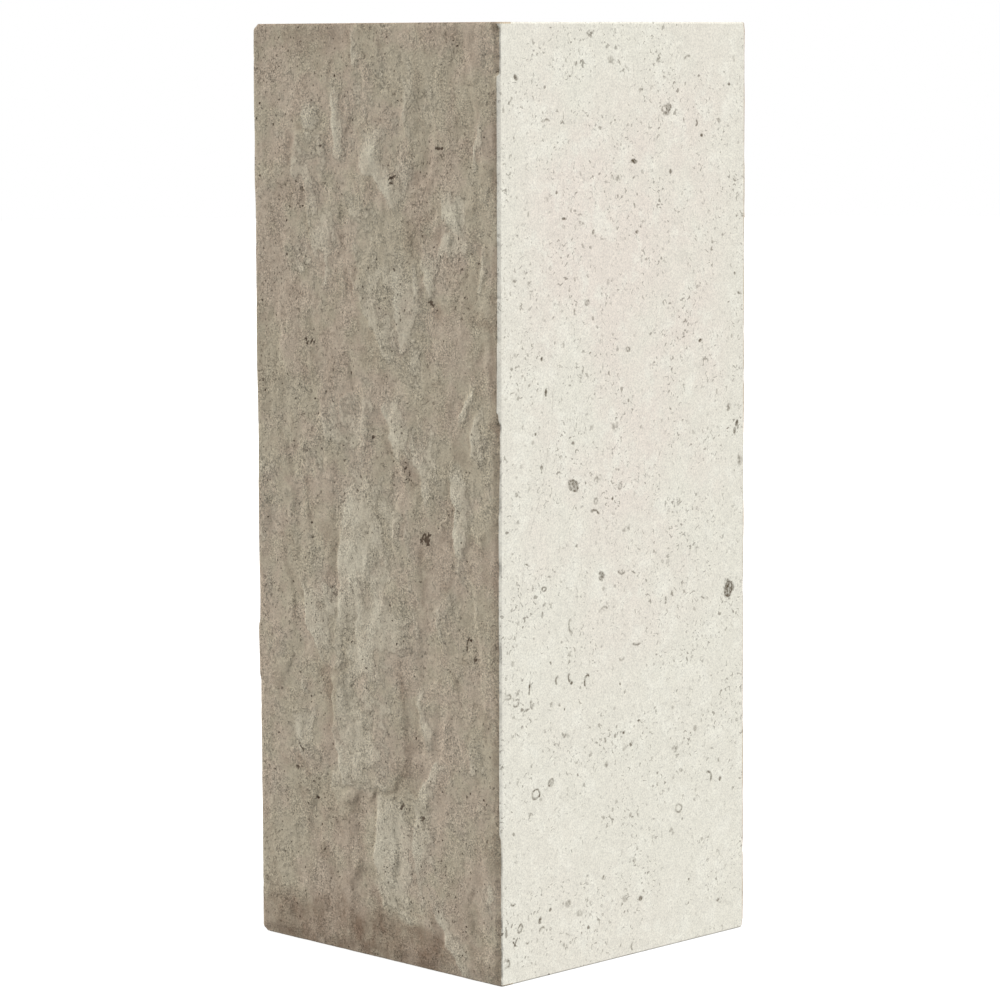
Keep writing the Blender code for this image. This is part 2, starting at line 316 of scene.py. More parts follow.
HONED_MARKS = (
    Mark("shell", 205.5, 740, 8, 7, 20, 0.8),
    Mark("smudge", 203, 738, 14, 11, 20, 0.9),
    Mark("blot", 162, 694.5, 9, 4, -12, 1.0),
    Mark("blot", 248.5, 715, 4, 3.4, 0, 1.0),
    Mark("blot", 66, 670.5, 2.8, 2.6, 0, 1.0),
    Mark("smudge", 53.5, 665, 6, 5, 0, 0.5),
    Mark("blot", 110.5, 635.5, 5, 3.2, 60, 0.7),
    Mark("blot", 165.5, 634, 4.4, 3.2, 10, 0.85),
    Mark("shell", 103, 576, 6.5, 4.8, 20, 0.55),
    Mark("blot", 247.5, 535.5, 5, 2.8, 10, 1.0),
    Mark("blot", 52.5, 503, 8, 3, 85, 0.9),
    Mark("shell", 85.5, 421, 15.5, 11, -25, 0.85),
    Mark("blot", 47, 439.5, 4.4, 4, 0, 0.7),
    Mark("shell", 144, 415.5, 7.5, 5.6, 70, 0.5),
    Mark("ring", 113.5, 405, 6.4, 4.6, 80, 0.65),
    Mark("arc", 112.5, 395, 12, 6, -15, 0.9),
    Mark("smudge", 116, 424, 10, 7, 30, 0.7),
    Mark("blot", 134.5, 405.5, 3.4, 2.4, 70, 0.9),
    Mark("smudge", 154, 378, 15, 5, 12, 0.7),
    Mark("smudge", 120.5, 339.5, 10, 8, -40, 1.0),
    Mark("arc", 146, 341.5, 10, 7, 170, 0.75),
    Mark("stroke", 161, 339, 6, 1.6, -25, 0.75),
    Mark("shell", 286, 311.5, 17, 12, 80, 0.95),
    Mark("smudge", 286, 311.5, 22, 16, 80, 1.1),
    Mark("arc", 83, 300.5, 15, 8, 95, 0.6),
    Mark("arc", 124, 310.5, 9, 5, 0, 0.6),
    Mark("ring", 49.5, 335.5, 6, 4.6, 0, 0.8),
    Mark("arc", 165, 276, 11, 4, 175, 0.8),
    Mark("stroke", 31.5, 253, 14, 1.8, 84, 0.9),
    Mark("arc", 65.5, 255.5, 8, 5, 75, 1.0),
    Mark("arc", 81, 256, 8, 5, 100, 1.0),
    Mark("blot", 83, 251, 4, 3, 20, 0.8),
    Mark("arc", 102.5, 251, 12, 8, 60, 1.1),
    Mark("arc", 15, 241.5, 8, 6, 200, 0.8),
    Mark("ring", 6.5, 248, 6, 5, 0, 0.6),
    Mark("arc", 34.5, 238, 8, 5, 100, 0.8),
    Mark("smudge", 74.5, 206.5, 9, 6, -20, 0.8),
    Mark("shell", 57.5, 168, 9, 7, 40, 0.7),
    Mark("ring", 38.5, 160.5, 12, 10.5, 0, 1.0),
    Mark("smudge", 215, 177, 9, 9, 0, 0.7),
    Mark("arc", 260, 145.5, 12, 8, 300, 0.9),
    Mark("ring", 220, 122, 10, 9, 0, 0.75),
    Mark("smudge", 160, 84, 9, 6, 0, 0.7),
    Mark("blot", 78.5, 59, 8, 7, 30, 0.5),
    Mark("blot", 92.5, 48, 9, 6, -10, 0.3),
    Mark("ring", 19, 47, 9, 6.5, 60, 0.85),
    Mark("smudge", 43.5, 50, 7, 5, 80, 0.9),
    Mark("arc", 46, 41.5, 8, 5, 20, 0.7),
    Mark("stroke", 14, 36, 9, 1.6, 60, 0.9),
    Mark("stroke", 12, 35, 7, 1.5, -50, 0.9),
    Mark("stroke", 273, 30.5, 4.6, 2, 20, 0.95),
    Mark("smudge", 107, 803, 11, 7, 20, 0.8),
    Mark("smudge", 132, 780, 11, 9, 0, 0.5),
    Mark("arc", 54, 730.5, 7, 4, 0, 0.7),
    Mark("arc", 229.5, 782, 9, 4, 20, 0.6),
    Mark("blot", 284.5, 759, 3, 2.6, 0, 0.8),
    Mark("smudge", 3, 731, 10, 5, 80, 0.8),
    Mark("smudge", 142, 680.5, 9, 6, 20, 0.6),
    Mark("smudge", 137, 468, 12, 10, 0, 0.6),
    Mark("smudge", 285, 474, 9, 8, 0, 0.7),
    Mark("blot", 298.5, 575, 5, 2.6, -30, 0.7),
    Mark("smudge", 300, 425, 16, 6, 90, 0.7),
    Mark("stroke", 60, 490, 36, 0.7, 87, 0.3),
    Mark("stroke", 53, 445, 56, 0.7, 78, 0.3),
    Mark("stroke", 38, 398, 44, 0.7, 67, 0.3),
    Mark("stroke", 20, 326, 106, 0.7, 80, 0.3),
)

# Dark inclusions on the front riven face.
RIVEN_MARKS = (
    Mark("smudge", 217.5, 375.5, 17, 12, 25, 2.2),
    Mark("blot", 217.5, 375.5, 8, 6, 25, 1.0),
    Mark("arc", 267, 290, 14, 6, 80, 1.0),
    Mark("blot", 275, 278, 5, 5, 0, 1.0),
    Mark("stroke", 56, 176, 14, 3, -48, 0.9),
    Mark("smudge", 72, 538, 16, 8, 0, 1.4),
    Mark("smudge", 177, 682, 16, 11, 60, 1.0),
    Mark("smudge", 196, 427, 22, 7, 110, 1.2),
    Mark("blot", 50, 157, 6, 5, 0, 0.8),
    Mark("blot", 152, 459, 6, 4, 60, 0.9),
    Mark("stroke", 225, 577, 9, 4, -30, 1.0),
    Mark("stroke", 235, 708, 12, 3, 0, 1.0),
    Mark("blot", 88, 708, 5, 4, 0, 0.9),
    Mark("smudge", 188, 137, 14, 10, -30, 1.2),
    Mark("blot", 211, 133, 7, 5, 0, 0.9),
)

# Points this far apart, each moved by up to a share of it, carry the honed faces' marks, which are sunk by
# up to the depth. The points keep clear of the upright arrises and of the ends.
MARK_PITCH = 0.74
MARK_NUDGE = 0.2
MARK_DEPTH = 0.2
CLEAR_OF_ARRIS, CLEAR_OF_END = 11, 3

# A mark is gone at this margin outside its ellipse, and fades over this last share of the way there. The
# wall of a ring, an arc or a shell fades out over this distance to both sides.
MARK_MARGIN = 0.9
MARK_FADE = 0.22
WALL_REACH = 1.25

# Marks too small to place by eye: their number on the right-hand honed face, the share of each kind, how far
# they keep from the edges, their least length, and how wide a stroke is.
SCATTERED_MARKS = 150
SCATTERED_KINDS = {"arc": 0.2, "blot": 0.3, "stroke": 0.3, "ring": 0.02, "smudge": 0.18}
SCATTERED_BORDER = 2
LEAST_SCATTERED = 1.6
STROKE_WIDTH = 1.1


def ease(share):
    """Nought to one with level ends: three squares less two cubes of the clipped share."""
    share = np.clip(share, 0, 1)
    return share * share * (3 - 2 * share)


def lattice_noise(across, up, cell_across, cell_up, seed):
    """Smooth noise from -1 to 1: seeded values at a lattice's corners, blended with the same ease."""
    values = np.random.default_rng(seed).uniform(-1, 1, (LATTICE, LATTICE))
    along, aloft = across / cell_across, up / cell_up
    column, row = np.floor(along).astype(int), np.floor(aloft).astype(int)
    share_across, share_up = ease(along - column), ease(aloft - row)

    def corner(right, top):
        return values[(column + right) % LATTICE, (row + top) % LATTICE]

    low = corner(0, 0) * (1 - share_across) + corner(1, 0) * share_across
    high = corner(0, 1) * (1 - share_across) + corner(1, 1) * share_across
    return low * (1 - share_up) + high * share_up


def facets(across, up, cell_across, cell_up, tilt, step, sharpness, seed):
    """Patches of the bed, each with its own tilt and level.

    They are planes about jittered seeds, blended by nearness.
    """
    draws = np.random.default_rng(seed).uniform(-1, 1, (5, LATTICE, LATTICE))
    along, aloft = across / cell_across, up / cell_up
    column, row = np.floor(along).astype(int), np.floor(aloft).astype(int)
    total = weights = 0
    for right in (-1, 0, 1):
        for top in (-1, 0, 1):
            jitter_across, jitter_up, level, tilt_across, tilt_up = draws[
                :, (column + right) % LATTICE, (row + top) % LATTICE
            ]
            off_across = along - column - right - 0.5 - FACET_JITTER * jitter_across
            off_up = aloft - row - top - 0.5 - FACET_JITTER * jitter_up
            plane = tilt_across * off_across + UPWARD_TILT * tilt_up * off_up
            weight = np.exp(-sharpness * (off_across**2 + off_up**2))
            total = total + weight * (step * level + tilt * cell_across * plane)
            weights = weights + weight
    return total / weights


def flake_share(flake, across, up):
    """One inside a flake and nought outside, and what the flake adds to the paleness.

    The outline is a superellipse in the flake's leaning frame. Its rim is as wide as the side it is on says,
    blended round the corners by the sixth powers of the two directions. The stone is freshest behind a crisp
    left or right rim and darkens away from it, partly as aged stone and partly as painted shade. A line half
    way up a crisp rim is a painted highlight at the left and top and painted shade at the right and bottom,
    and the gutter outside it is darkened with painted shade.
    """
    lean = math.radians(flake.lean)
    right = (across - flake.across) * math.cos(lean) + (up - flake.up) * math.sin(lean)
    above = (up - flake.up) * math.cos(lean) - (across - flake.across) * math.sin(lean)
    right, above = right / flake.half_width, above / flake.half_height
    reach = (np.abs(right) ** FLAKE_SQUARENESS + np.abs(above) ** FLAKE_SQUARENESS) ** (1 / FLAKE_SQUARENESS)
    share = right**6 / (right**6 + above**6 + 1e-9)

    def round_outline(values):
        """The values of the four sides, blended round the corners."""
        sideways = np.where(right < 0, values["left"], values["right"])
        upwards = np.where(above < 0, values["bottom"], values["top"])
        return share * sideways + (1 - share) * upwards

    half_sizes = dict.fromkeys(("left", "right"), flake.half_width)
    half_sizes.update(dict.fromkeys(("bottom", "top"), flake.half_height))
    crisp = {side: float(side in flake.crisp) for side in half_sizes}
    rims = {
        side: CRISP_RIMS[side] / size if crisp[side] else SOFT_RIM_SHARE for side, size in half_sizes.items()
    }
    inside = ease((1 - reach) / round_outline(rims) + 0.5)
    # Painted highlight along a crisp rim at the left and top, painted shade at the right and bottom.
    line = 4 * inside * (1 - inside) * round_outline({side: RIM_HIGHLIGHT_AND_SHADE[side] * crisp[side] for side in crisp})
    away = np.maximum(reach - 1, 0) * round_outline(half_sizes)
    # Painted shade in the gutter outside a crisp rim.
    gutter = GUTTER_SHADE_TONE * (1 - inside) * np.exp(-away / GUTTER) * round_outline(crisp)
    freshest = crisp["left"] or -crisp["right"]
    # Paleness fades away from a crisp rim: partly aged stone, partly painted shade.
    age_and_painted_shade = np.clip(0.5 + 0.5 * freshest * right, 0, 1) * abs(freshest)
    pale = flake.pale * inside * (1 - AGEING_AND_PAINTED_SHADE * age_and_painted_shade)
    return inside, pale + min(flake.rise, MOST_RIM_RISE) * (line + gutter)


def drift(across, up, seed):
    """How far the rock's grain carries things off their drawn place, sideways and upwards.

    It is noise of falling size. The broadest comes first, and then the sum of the others.
    """
    moves = []
    for step, (cell_across, cell_up, sideways, upwards) in enumerate(DRIFTS):
        first = sideways * lattice_noise(across, up, cell_across, cell_up, seed + 50 + 2 * step)
        second = upwards * lattice_noise(across, up, cell_across, cell_up, seed + 51 + 2 * step)
        moves.append((first, second))
    (broad_across, broad_up), *small = moves
    return broad_across, broad_up, sum(m[0] for m in small), sum(m[1] for m in small)


def riven_relief(face, across, up):
    """Relief and paleness over a riven face, summed: swells of falling size, facets, flakes, stained patches
    and painted shade.
    """
    seed = face.seed
    leaning = across + BED_LEAN * (up - HEIGHT / 2)
    broad_across, broad_up, small_across, small_up = drift(leaning, up, seed)
    far_across, far_up = leaning + broad_across + small_across, up + broad_up + small_up
    near_across = leaning + SWELL_DRIFT * (broad_across + small_across)
    near_up = up + SWELL_DRIFT * (broad_up + small_up)
    height = facets(far_across, far_up, *BROAD_FACETS, seed + 20)
    height = height + facets(far_across, far_up, *SMALL_FACETS, seed + 21)
    for step, (cell_across, cell_up, swell) in enumerate(SWELLS):
        height = height + swell * lattice_noise(near_across, near_up, cell_across, cell_up, seed + 4 + step)
    pale = 0
    for step, (cell_across, cell_up, strength) in enumerate(PALENESS):
        pale = pale + strength * lattice_noise(far_across, far_up, cell_across, cell_up, seed + 30 + step)
    outline_across = across + OUTLINE_BROAD_ACROSS * broad_across + OUTLINE_SMALL * small_across
    outline_up = up + OUTLINE_BROAD_UP * broad_up + OUTLINE_SMALL * small_up
    cell_across, cell_up, strength = FADING
    fading = 1 + strength * lattice_noise(across, up, cell_across, cell_up, seed + 60)
    for flake in face.flakes + face.stains:
        inside, tone = flake_share(flake, outline_across, outline_up)
        height = height + flake.rise * inside * fading
        pale = pale + tone * fading
    return height - height.mean(), pale


def border_depth(edge, up):
    """The usual depth of a flat side's border: a straight line from its depth at the base to the top's."""
    at_base, at_top = edge
    return at_base + (at_top - at_base) * up / HEIGHT


def arris_lines(edge, wears, chipping, up, seed):
    """The inset of an upright arris's rim and the depths of its rim and its border, at each height.

    The rim wanders a little and has small chips, and the worn stretches move all three.
    """

    def noise_along(cell, step):
        return lattice_noise(up, np.zeros_like(up), cell, 1, seed + step)

    ripple = RIPPLE[1] * chipping * noise_along(RIPPLE[0], 1)
    wander = WANDER[1] * noise_along(WANDER[0], 0) + ripple
    chip = chipping * ease((noise_along(CHIP_CELL, 2) - CHIP_THRESHOLD) / CHIP_RAMP)
    inset = ARRIS_INSET + INSET_SHARE * wander + INSET_SHARE * chip
    border = border_depth(edge, up)
    rim = border - ARRIS_RISE + wander + CHIP_DEPTH * chip
    for wear in wears:
        run = ease((up - wear.bottom) / wear.ramp_bottom) * ease((wear.top - up) / wear.ramp_top)
        inset = inset + wear.inset * run
        rim = rim + wear.rim * run
        border = border + wear.border * run
    return np.maximum(inset, LEAST_ARRIS), np.minimum(rim, border - LEAST_ARRIS), border


def calmed(height, distance, calm):
    """Relief times an eased share, which rises from the least at an edge to one at the calm width."""
    width, least = calm
    return height * ease(least + (1 - least) * distance / width)


def riven_depth(face, across, up, left_rim, right_rim):
    """Depth under the proudest crest, and paleness.

    A plane runs between the usual levels of the two rims, raised by the crown and the relief. Near the ends
    it is calmed, at the sides it rolls down to the rims, and no crest passes the proudest level.
    """
    height, pale = riven_relief(face, across, up)
    from_left, from_right = across - across[:, :1], across[:, -1:] - across
    from_side = np.minimum(from_left, from_right)
    height = calmed(height, np.minimum(up, HEIGHT - up), END_CALM)
    height = calmed(height, from_side, SIDE_CALM)
    height = height - BASE_FALL * (1 - ease(up / BASE_FALL_WIDTH))
    height = height - TOP_FALL * (1 - ease((HEIGHT - up) / TOP_FALL_WIDTH))
    share = across / SIDE
    between = (1 - share) * border_depth(face.left_edge, up) + share * border_depth(face.right_edge, up)
    plane = between - ARRIS_RISE
    rim = np.where(from_left < from_right, left_rim[:, None], right_rim[:, None])
    roll = ease(from_side / EDGE_ROLL)
    depth = rim * (1 - roll) + (plane - CROWN - height) * roll
    over = np.maximum(CREST_SOFTENING - depth, 0)
    return depth + over - CREST_SOFTENING * (1 - np.exp(-over / CREST_SOFTENING)), pale


def mark_frame(mark, across, up):
    """Places in a mark's own frame, in millimetres along its long axis and aside from it."""
    turn = math.radians(mark.turn)
    right, above = across - mark.across, up - mark.up
    return right * math.cos(turn) + above * math.sin(turn), above * math.cos(turn) - right * math.sin(turn)


def mark_reach(mark, along, aside, margin):
    """Nought at a mark's centre and one on the ellipse that lies a margin outside its own."""
    return np.hypot(along / (0.5 * mark.long + margin), aside / (0.5 * mark.short + margin))


def mark_shade(mark, across, up, seed):
    """Darkness of one mark from nought to one, by the distance from its centre in its own scaled frame.

    A ring is a round wall and an arc part of one, a smudge is speckled, a shell is a whorl with a darker
    rim, and a blot or a stroke is even. Each fades to nothing at its reach.
    """
    along, aside = mark_frame(mark, across, up)
    ragged = 1 + 0.16 * lattice_noise(across, up, 2.4, 2.4, seed)
    distance = np.hypot(along / (mark.long / 2), aside / (mark.short / 2)) * ragged
    wall = 1.2 * np.clip(1 - np.abs(distance - 0.76) * mark.short / 2 / WALL_REACH, 0, 1)
    speckle = ease(0.5 + 1.4 * lattice_noise(across, up, 1.9, 1.9, seed + 1))
    if mark.kind == "ring":
        shade = wall * (0.65 + 0.35 * speckle)
    elif mark.kind == "arc":
        shade = wall * ease(0.6 + aside / mark.short * 2.5)
    elif mark.kind == "smudge":
        shade = np.clip(1.1 - distance, 0, 1) ** 0.5 * speckle
    elif mark.kind == "shell":
        whorl = 0.5 + 0.5 * np.cos(np.arctan2(aside, along) * 2 + 8 * distance)
        inside = np.clip((1.05 - distance) / 0.2, 0, 1)
        shade = inside * (0.34 + 0.22 * speckle + 0.3 * whorl) + 0.3 * wall
    else:
        shade = (1.15 - distance) / 0.45
    fade = ease((1 - mark_reach(mark, along, aside, MARK_MARGIN)) / MARK_FADE)
    return mark.strength * np.clip(shade, 0, 1) * fade


def scattered_marks(count, side, seed):
    """Small marks at seeded random places on a honed face: mostly dots, strokes and short arcs."""
    draw = np.random.default_rng(seed)
    kinds = draw.choice(list(SCATTERED_KINDS), count, p=list(SCATTERED_KINDS.values()))
    across = draw.uniform(SCATTERED_BORDER, side - SCATTERED_BORDER, count)
    up = draw.uniform(SCATTERED_BORDER, HEIGHT - SCATTERED_BORDER, count)
    long = draw.gamma(3.0, 0.75, count) + LEAST_SCATTERED
    share = draw.uniform(0.45, 0.9, count)
    turn = draw.uniform(0, 360, count)
    strength = draw.uniform(0.3, 0.9, count)
    short = np.where(kinds == "stroke", STROKE_WIDTH, long * share)
    rows = zip(kinds.tolist(), across, up, long, short, turn, strength)
    return [Mark(*row) for row in rows]


def marks_shade(marks, across, up, seed):
    """The darkest of the marks at each point; a mark is worked out only where it reaches."""
    shade = np.zeros_like(across)
    for index, mark in enumerate(marks):
        reach = 0.5 * mark.long + 2
        near = (np.abs(across - mark.across) < reach) & (np.abs(up - mark.up) < reach)
        if near.any():
            shade[near] = np.maximum(shade[near], mark_shade(mark, across[near], up[near], seed + index))
    return np.minimum(shade, 1)


class Skin:
    """The points and faces of one closed skin, gathered part by part, with points' paleness and marks."""

    def __init__(self):
        self.points, self.pale, self.mark = [], [], []
        self.faces = []
        self.count = 0

    def add_points(self, places, pale=0.0, mark=0.0):
        """Adds places in millimetres, in an array of any shape that ends in three. Returns their numbers."""
        places = np.asarray(places, float)
        shape = places.shape[:-1]
        self.points.append(places.reshape(-1, 3) * MM)
        self.pale.append(np.broadcast_to(pale, shape).reshape(-1))
        self.mark.append(np.broadcast_to(mark, shape).reshape(-1))
        numbers = np.arange(self.count, self.count + math.prod(shape)).reshape(shape)
        self.count += numbers.size
        return numbers

    def add_faces(self, corners, finish, smooth):
        """Adds faces, each a row of point numbers, in one finish."""
        self.faces.append((corners, finish, smooth))

    def add_grid(self, numbers, finish, smooth):
        """Adds the four-cornered faces between the rows and columns of a grid of point numbers."""
        corners = (numbers[:-1, :-1], numbers[:-1, 1:], numbers[1:, 1:], numbers[1:, :-1])
        self.add_faces(np.stack(corners, -1).reshape(-1, 4), finish, smooth)

    def places(self, numbers):
        """The places of some points, in millimetres."""
        return np.concatenate(self.points)[numbers] / MM


def wall_sheet(skin, face, grid, marks, turned):
    """One riven face with the worn arrises at both its ends, as a grid of rows by columns of point numbers.

    A point of the face stands at its depth under the proudest crest. Over each arris the sheet runs from the
    rim to the border on a curve pulled a little towards the sharp corner: the left one is in the riven
    finish and darkened with painted shade, and the right one is a clean bruise. A turned sheet is the same
    thing half a turn round the upright axis.
    """
    columns, rows = grid
    up = np.linspace(END_EASE, HEIGHT - END_EASE, rows)
    left_inset, left_rim, left_border = arris_lines(
        face.left_edge, face.left_wear, face.left_chips, up, face.seed + 70
    )
    right_inset, right_rim, right_border = arris_lines(
        face.right_edge, face.right_wear, face.right_chips, up, face.seed + 75
    )
    share = np.linspace(0, 1, columns)
    across = left_inset[:, None] + share * (SIDE - left_inset - right_inset)[:, None]
    up_grid = np.broadcast_to(up[:, None], across.shape)
    depth, pale = riven_depth(face, across, up_grid, left_rim, right_rim)
    mark = marks_shade(marks, across, up_grid, face.seed + 300)
    sheet = np.stack([across - SIDE / 2, depth - DEPTH / 2, up_grid], -1)

    def arris(rim, border, direction):
        """The columns beyond a rim: a quadratic curve to the border, by the squares of the two shares."""
        corner_x = np.full(rows, direction * SIDE / 2)
        far = np.stack([corner_x, border - DEPTH / 2, up], -1)
        sharp = np.stack([corner_x, rim[:, 1], up], -1)
        pull = 0.5 * (rim + far) * (1 - ARRIS_FULLNESS) + sharp * ARRIS_FULLNESS
        steps = [(1 - t) ** 2 * rim + 2 * t * (1 - t) * pull + t * t * far for t in ARRIS_STEPS]
        return np.stack(steps, 1)

    left = arris(sheet[:, 0], left_border, -1)[:, ::-1]
    right = arris(sheet[:, -1], right_border, 1)
    sheet = np.concatenate([left, sheet, right], 1)
    if turned:
        sheet = sheet * (-1, -1, 1)
    bare = np.zeros_like(left[..., 0])
    # The left arris strip is darkened with painted shade; the right one is honed and takes no paleness.
    pale = np.concatenate([bare + PAINTED_EDGE_SHADE, pale, bare], 1)
    mark = np.concatenate([bare, mark, bare], 1)
    numbers = skin.add_points(sheet, pale, mark)
    steps = len(ARRIS_STEPS)
    skin.add_grid(numbers[:, :-steps], "riven", True)
    skin.add_grid(numbers[:, -steps - 1 :], "honed", False)
    return numbers


def fill_flat(skin, outline, inner, plane, finish, flip):
    """Triangles over a flat outline and the points inside it. Plane names the two axes it lies along."""
    numbers = np.concatenate([outline, inner])
    flat = [Vector(place) for place in skin.places(numbers)[:, plane]]
    made = delaunay_2d_cdt(flat, [], [list(range(len(outline)))], 1, 1e-5)
    faces, originals = made[2], made[3]
    first = numbers[[group[0] for group in originals]]
    corners = first[np.array(faces)]
    skin.add_faces(corners[:, ::-1] if flip else corners, finish, False)


def lattice_steps(middle, reach):
    """The numbers of the fine lattice's steps within reach of a middle."""
    return np.arange(math.floor((middle - reach) / MARK_PITCH), (middle + reach) / MARK_PITCH)


def mark_points(marks, side):
    """A fine lattice of points under the marks, clear of the face's edges.

    It goes a step and a half beyond each mark's fade, so that a mark ends inside a ring of unmarked points.
    """
    margin = MARK_MARGIN + 1.5 * MARK_PITCH
    keys = []
    for mark in marks:
        reach = 0.5 * mark.long + margin
        steps = np.meshgrid(lattice_steps(mark.across, reach), lattice_steps(mark.up, reach))
        column, row = (axis.ravel() for axis in steps)
        along, aside = mark_frame(mark, column * MARK_PITCH, row * MARK_PITCH)
        inside = mark_reach(mark, along, aside, margin) < 1
        keys.append(np.stack([column[inside], row[inside]], 1))
    keys = np.unique(np.concatenate(keys).astype(int), axis=0)
    nudge = np.random.default_rng(3).uniform(-MARK_NUDGE, MARK_NUDGE, keys.shape)
    places = (keys + nudge) * MARK_PITCH
    across, up = places.T
    clear = (across > CLEAR_OF_ARRIS) & (across < side - CLEAR_OF_ARRIS)
    return places[clear & (up > CLEAR_OF_END) & (up < HEIGHT - CLEAR_OF_END)]


def honed_side(skin, near_edge, far_edge, direction, marks, seed):
    """A flat honed face between two upright edges, with its marks as shallow pits on a fine lattice."""
    shares = np.linspace(0, 1, EDGE_POINTS + 2)[1:-1, None]

    def edge_between(first, last):
        """Points evenly along the straight line between two others."""
        start, end = skin.places(first), skin.places(last)
        return skin.add_points(start + shares * (end - start))

    bottom_edge = edge_between(near_edge[0], far_edge[0])
    top_edge = edge_between(near_edge[-1], far_edge[-1])
    outline = np.concatenate([near_edge, top_edge, far_edge[::-1], bottom_edge[::-1]])
    across, up = mark_points(marks, DEPTH).T
    shade = marks_shade(marks, across, up, seed)
    sunk = direction * (SIDE / 2 - MARK_DEPTH * shade)
    inner = np.stack([sunk, direction * (across - DEPTH / 2), up], 1)
    inner = skin.add_points(inner, mark=shade)
    fill_flat(skin, outline, inner, [1, 2], "honed", direction < 0)
    return top_edge, bottom_edge


def eased_end(skin, parts, at_top):
    """Rolls the walls' top or bottom edge over on a quarter round in a few rings, and fills the flat inside.

    The parts are the stretches of the edge in order, each with the finish of the wall that it belongs to.
    """
    loop = np.concatenate([part for part, finish in parts])
    places = skin.places(loop)
    rings = [loop]
    for step in range(1, END_RINGS + 1):
        angle = step / END_RINGS * math.pi / 2
        inset = END_EASE * (1 - math.cos(angle))
        rise = END_EASE * math.sin(angle)
        ring = places * (1 - inset / (SIDE / 2), 1 - inset / (DEPTH / 2), 0)
        ring[:, 2] = HEIGHT - END_EASE + rise if at_top else END_EASE - rise
        # The rings are darkened with painted shade, which shows where they take the riven finish.
        rings.append(skin.add_points(ring, pale=PAINTED_EDGE_SHADE))
    band = np.stack(rings)
    band = np.concatenate([band, band[:, :1]], 1)
    start = 0
    for part, finish in parts:
        end = start + len(part)
        skin.add_grid(band[:, start : end + 1], finish, True)
        start = end
    spots = np.linspace(-END_SPOTS_REACH, END_SPOTS_REACH, END_SPOTS)
    across, deep = (axis.ravel() for axis in np.meshgrid(spots * SIDE, spots * DEPTH))
    level = np.full_like(across, HEIGHT if at_top else 0.0)
    inner = skin.add_points(np.stack([across, deep, level], 1))
    fill_flat(skin, rings[-1], inner, [0, 1], "honed", not at_top)


def build_pedestal():
    """The whole block as one closed skin: two riven sheets, two honed sides, and an eased top and base."""
    skin = Skin()
    front = wall_sheet(skin, FRONT, FRONT_GRID, RIVEN_MARKS, False)
    back = wall_sheet(skin, BACK, BACK_GRID, (), True)
    start = (DEPTH - SIDE) / 2
    right_marks = [mark._replace(across=mark.across + start) for mark in HONED_MARKS]
    right_marks += scattered_marks(SCATTERED_MARKS, DEPTH, 5)
    left_marks = scattered_marks(SCATTERED_MARKS // 3, DEPTH, 6)
    right_top, right_bottom = honed_side(skin, front[:, -1], back[:, 0], 1, right_marks, 400)
    left_top, left_bottom = honed_side(skin, back[:, -1], front[:, 0], -1, left_marks, 900)
    for row, right, left in ((-1, right_top, left_top), (0, right_bottom, left_bottom)):
        parts = ((front[row], "riven"), (right, "honed"), (back[row], "riven"), (left, "honed"))
        eased_end(skin, parts, row == -1)
    return skin


def mesh_object(name, skin, finishes):
    """A mesh object from a skin. Paleness and marks become point attributes, and all faces face out."""
    mesh = bpy.data.meshes.new(name)
    corners, kinds, smooth = [], [], []
    for faces, finish, is_smooth in skin.faces:
        corners += faces.tolist()
        kinds += [finishes.index(finish)] * len(faces)
        smooth += [is_smooth] * len(faces)
    mesh.from_pydata(np.concatenate(skin.points).tolist(), [], corners)
    mesh.polygons.foreach_set("material_index", kinds)
    mesh.polygons.foreach_set("use_smooth", smooth)
    for label, values in (("pale", skin.pale), ("mark", skin.mark)):
        attribute = mesh.attributes.new(label, "FLOAT", "POINT")
        attribute.data.foreach_set("value", np.concatenate(values).astype(np.float32))
    shell = bmesh.new()
    shell.from_mesh(mesh)
    bmesh.ops.recalc_face_normals(shell, faces=shell.faces)
    shell.to_mesh(mesh)
    shell.free()
    made = bpy.data.objects.new(name, mesh)
    bpy.context.scene.collection.objects.link(made)
    return made


def linear(colour):
    """An sRGB hex colour as linear red, green, blue and one."""
    parts = [int(colour[i : i + 2], 16) / 255 for i in (1, 3, 5)]
    return (*[p / 12.92 if p <= 0.04045 else ((p + 0.055) / 1.055) ** 2.4 for p in parts], 1.0)


# Stone colours are what each finish would show under white light.
CREAM = linear("#E9E6D9")
ROSE_CREAM = linear("#E9DFD4")
CHALK = linear("#F2F0E4")
FOSSIL_GREY = linear("#544833")
# Old brown stone, also the colour of painted shade on the riven faces.
OLD_BROWN_AND_SHADE = linear("#A28B76")
ROSE_BUFF = linear("#DECDB7")
OLIVE_BUFF = linear("#DBCFB6")
# Pale buff stone, also the colour of painted highlights along crisp rims.
PALE_BUFF_AND_HIGHLIGHT = linear("#ECE2CB")
FRESH_STONE = linear("#F8F0D8")
DEEP_BROWN = linear("#5A4838")
WHITE = linear("#FFFFFF")
FLOOR_WHITE = linear("#C8C8C8")

# The lean of the riven rock's fibres from upright, top to the left, in degrees, and how drawn out they and
# the fresher patches are along it.
FIBRE_LEAN = -28
FIBRE_STRETCH = 4.0
PATCH_STRETCH = 1.5

# A range is mapped with level ends where this setting is given, and is straight elsewhere.
EASED = {"interpolation_type": "SMOOTHSTEP"}


def fill(tree, filled, inputs):
    """Sets each named or numbered input of a node to a value, or links another node's output to it."""
    for key, value in inputs.items():
        socket = filled.inputs[key]
        if isinstance(value, bpy.types.NodeSocket):
            tree.links.new(value, socket)
        else:
            socket.default_value = value


